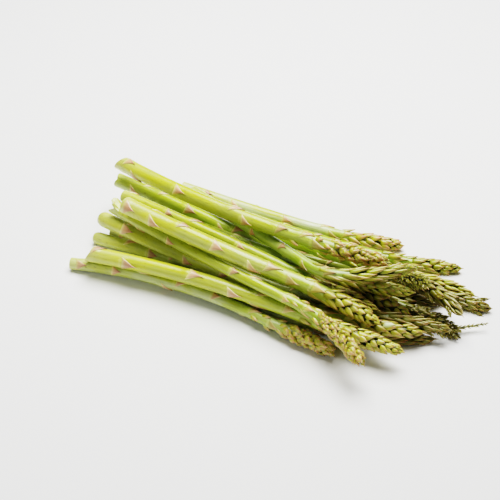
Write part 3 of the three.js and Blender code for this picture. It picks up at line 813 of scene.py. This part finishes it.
def skinMaterial(slot):
    look = spearLooks[slot]
    material = bpy.data.materials.new(slot + "_skin")
    material.use_nodes = True
    tree = material.node_tree
    shader = tree.nodes["Principled BSDF"]
    nodes = Nodes(tree)
    spot = nodes.add("ShaderNodeAttribute", attribute_name="spot").outputs["Vector"]
    split = {}
    for label in ("growth", "scaleSpot", "tone"):
        marks = nodes.add("ShaderNodeAttribute", attribute_name=label).outputs["Vector"]
        split[label] = nodes.add("ShaderNodeSeparateXYZ", {0: marks}).outputs
    # head is 1 on the scales of the tip and 0 on the scale leaves; on the stem and the stalks of side shoots
    # it is the weight of painted shade over the core
    share, leafy, head = split["growth"]
    across, reach, draw = split["scaleSpot"]
    bloom, pink, pale = split["tone"]

    streaks = nodes.noise(spot, skinNoise["streaks"], detail=4.0)
    patches = nodes.noise(spot, skinNoise["patches"], detail=2.0)
    specks = nodes.noise(spot, skinNoise["specks"], detail=2.0, rough=0.4)
    stemColour = nodes.ramp(share, look["stem"])
    patched = nodes.range(patches, 0.42, 0.68, 0.0, skinShares["patch"])
    stemColour = nodes.mix(patched, stemColour, look["patch"])
    streaked = nodes.range(streaks, 0.35, 0.7, 0.0, skinShares["streak"])
    stemColour = nodes.mix(streaked, stemColour, skinLook["streak"])
    stemColour = nodes.mix(nodes.math("MULTIPLY", draw, skinShares["cool"]), stemColour, skinLook["cool"])
    specked = nodes.range(specks, 0.64, 0.72, 0.0, skinShares["speck"])
    stemColour = nodes.mix(specked, stemColour, skinLook["speck"])
    bloomPatch = nodes.math("MULTIPLY", bloom, nodes.range(patches, 0.4, 0.62, 0.15, 0.95))
    stemColour = nodes.mix(bloomPatch, stemColour, skinLook["bloom"])
    stemColour = nodes.mix(pale, stemColour, skinLook["pale"])
    # painted shade: the core of the tip and the bare stalks of side shoots darkened toward near-black under
    # the scales
    stemColour = nodes.mix(nodes.math("MULTIPLY", head, skinShares["shadedCore"]), stemColour, skinLook["shadedCore"])
    fibres = nodes.noise(spot, skinNoise["fibres"], detail=1.0)
    fibred = nodes.range(fibres, 0.55, 0.7, 0.0, skinShares["fibre"])
    cutColour = nodes.mix(fibred, skinLook["cut"], look["patch"])
    stemColour = nodes.mix(reach, stemColour, cutColour)

    veinPlace = nodes.add("ShaderNodeCombineXYZ", {0: across, 1: nodes.math("MULTIPLY", reach, 0.35),
                                                   2: nodes.math("MULTIPLY", draw, 30)}).outputs[0]
    veins = nodes.noise(veinPlace, skinNoise["veins"], detail=3.0)
    leafColour = nodes.ramp(reach, skinLook["leaf"])
    # the tip ramp is the scales' own colour, darkened to near-black at each root as painted shade in the
    # recess by the core
    tipColourAndRootShade = nodes.ramp(reach, look["tip"])
    further = nodes.math("ADD", reach, nodes.math("MULTIPLY", pink, 0.3))
    toPoint = nodes.math("MULTIPLY", pink, nodes.range(further, 0.5, 1.15))
    toPoint = nodes.math("MULTIPLY", toPoint, nodes.range(draw, -0.3, 1.0, 0.3, 0.95))
    tipColourAndRootShade = nodes.mix(toPoint, tipColourAndRootShade, skinLook["pinkTip"])
    nearTip = nodes.range(share, 0.45, 0.76, 0.0, skinShares["nearTip"])
    scaleColour = nodes.mix(nodes.math("MAXIMUM", head, nearTip), leafColour, tipColourAndRootShade)
    blanched = nodes.math("MULTIPLY", pale, skinShares["blanched"])
    scaleColour = nodes.mix(blanched, scaleColour, skinLook["bloom"])
    edge = nodes.range(nodes.math("ABSOLUTE", across), 0.74, 0.98, 0.0, skinShares["edge"])
    scaleColour = nodes.mix(edge, scaleColour, skinLook["pale"])
    veined = nodes.range(veins, 0.42, 0.75, 0.0, skinShares["vein"])
    scaleColour = nodes.mix(nodes.math("MULTIPLY", veined, head), scaleColour, look["patch"])
    darker = nodes.range(draw, 0.0, 1.0, 0.82, 1.1)
    grey = nodes.add("ShaderNodeCombineXYZ", {0: darker, 1: darker, 2: darker}).outputs[0]
    scaleColour = nodes.mix(1.0, scaleColour, grey, "MULTIPLY")
    colour = nodes.mix(leafy, stemColour, scaleColour)
    tree.links.new(colour, shader.inputs["Base Color"])

    grain = nodes.noise(spot, skinNoise["grain"], detail=4.0)
    low, high = skinLook["roughness"]
    tree.links.new(nodes.range(grain, 0.3, 0.7, low, high), shader.inputs["Roughness"])
    dents = nodes.noise(spot, skinNoise["dents"], detail=2.0)
    veinsOnScales = nodes.math("MULTIPLY", veins, leafy)
    height = nodes.math("MULTIPLY", streaks, skinBumps["streaks"])
    height = nodes.math("ADD", height, nodes.math("MULTIPLY", grain, skinBumps["grain"]))
    height = nodes.math("ADD", height, nodes.math("MULTIPLY", dents, skinBumps["dents"]))
    height = nodes.math("ADD", height, nodes.math("MULTIPLY", veinsOnScales, skinBumps["veins"]))
    bump = nodes.add("ShaderNodeBump", {"Strength": skinLook["bump"], "Distance": skinLook["bumpDepth"],
                                         "Height": height})
    tree.links.new(bump.outputs[0], shader.inputs["Normal"])
    shader.inputs["Subsurface Weight"].default_value = skinLook["subsurface"]
    shader.inputs["Subsurface Radius"].default_value = skinLook["subsurfaceRadius"]
    shader.inputs["Subsurface Scale"].default_value = skinLook["subsurfaceScale"]
    shader.inputs["Specular IOR Level"].default_value = skinLook["specular"]
    shader.inputs["Coat Weight"].default_value = skinLook["coat"]
    shader.inputs["Coat Roughness"].default_value = skinLook["coatRoughness"]
    return material


# Camera at the photo's viewing angle
view = {
    "turn": 29.0,  # degrees from the front toward the tips
    "rise": 40.0,
    "distance": 0.90,
    "lens": 89.0,
    "target": (-0.02691, 0.00625, 0.010),
}


def addCamera():
    data = bpy.data.cameras.new("photoCamera")
    data.lens = view["lens"]
    data.clip_start = 0.01
    camera = bpy.data.objects.new("photoCamera", data)
    turn, rise = math.radians(view["turn"]), math.radians(view["rise"])
    back = Vector((math.sin(turn) * math.cos(rise), -math.cos(turn) * math.cos(rise), math.sin(rise)))
    camera.location = Vector(view["target"]) + back * view["distance"]
    camera.rotation_euler = back.to_track_quat("Z", "Y").to_euler()
    bpy.context.scene.collection.objects.link(camera)
    bpy.context.scene.camera = camera


# Soft studio light: a wide box overhead, a weaker one in front, and a dim white room
studio = {
    "overhead": dict(place=(-0.1, 0.3, 0.9), size=0.75, power=15.3),
    "front": dict(place=(-0.3, -1.1, 0.75), size=0.8, power=2.6),
    "room": 0.05,
    "floor": srgb(250, 250, 248),
    "floorSize": 6.0,
    "floorRoughness": 0.9,
    "transform": "Filmic",
    "look": "Very High Contrast",
    "exposure": 0.05,
}


def addLight(name, setup):
    data = bpy.data.lights.new(name, "AREA")
    data.shape = "SQUARE"
    data.size = setup["size"]
    data.energy = setup["power"]
    light = bpy.data.objects.new(name, data)
    light.location = setup["place"]
    light.rotation_euler = Vector(setup["place"]).to_track_quat("Z", "Y").to_euler()
    bpy.context.scene.collection.objects.link(light)


def addStudio():
    addLight("overheadBox", studio["overhead"])
    addLight("frontBox", studio["front"])
    world = bpy.data.worlds.new("studioRoom")
    world.use_nodes = True
    world.node_tree.nodes["Background"].inputs["Color"].default_value = (1, 1, 1, 1)
    world.node_tree.nodes["Background"].inputs["Strength"].default_value = studio["room"]
    bpy.context.scene.world = world
    bpy.context.scene.view_settings.view_transform = studio["transform"]
    bpy.context.scene.view_settings.look = studio["look"]
    bpy.context.scene.view_settings.exposure = studio["exposure"]
    half = studio["floorSize"] / 2
    mesh = bpy.data.meshes.new("paleFloor")
    corners = [(-half, -half, 0), (half, -half, 0), (half, half, 0), (-half, half, 0)]
    mesh.from_pydata(corners, [], [(0, 1, 2, 3)])
    material = bpy.data.materials.new("pale_floor")
    material.use_nodes = True
    shader = material.node_tree.nodes["Principled BSDF"]
    shader.inputs["Base Color"].default_value = studio["floor"]
    shader.inputs["Roughness"].default_value = studio["floorRoughness"]
    mesh.materials.append(material)
    floor = bpy.data.objects.new("paleFloor", mesh)
    bpy.context.scene.collection.objects.link(floor)


def buildSpear(line, index, materials, slots):
    spear = line.spear
    random = np.random.default_rng(pile["seed"] + index)
    shares = np.linspace(-pile["before"], 1 + pile["beyond"], pile["samples"])
    axis = Axis(shares, line.points(shares), line.radii(shares))
    skin = Skin(spear)
    leaves = placeLeaves(spear, axis, random)
    buildStem(skin, axis, leaves, random)
    buildLeaves(skin, axis, leaves, random)
    buildTip(skin, axis, leaves, random)
    slot = slots[spear["name"]]
    piece = finishMesh(skin, materials[slot])
    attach(piece, "root")
    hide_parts(spear["name"])
    return sum(len(face.vertices) - 2 for face in piece.data.polygons)


addCamera()
addStudio()
print("camera and studio ready")
slots = {part["node"]: part["material_slot"] for part in frame["record"]["subparts"]}
materials = {slot: skinMaterial(slot) for slot in spearLooks}
print("skins ready")
lines = [MiddleLine(spear) for spear in spears]
settlePile(lines)
print("pile settled")
faces = sum(buildSpear(line, index, materials, slots) for index, line in enumerate(lines))
print("spears built:", len(lines), "with", faces, "triangles")
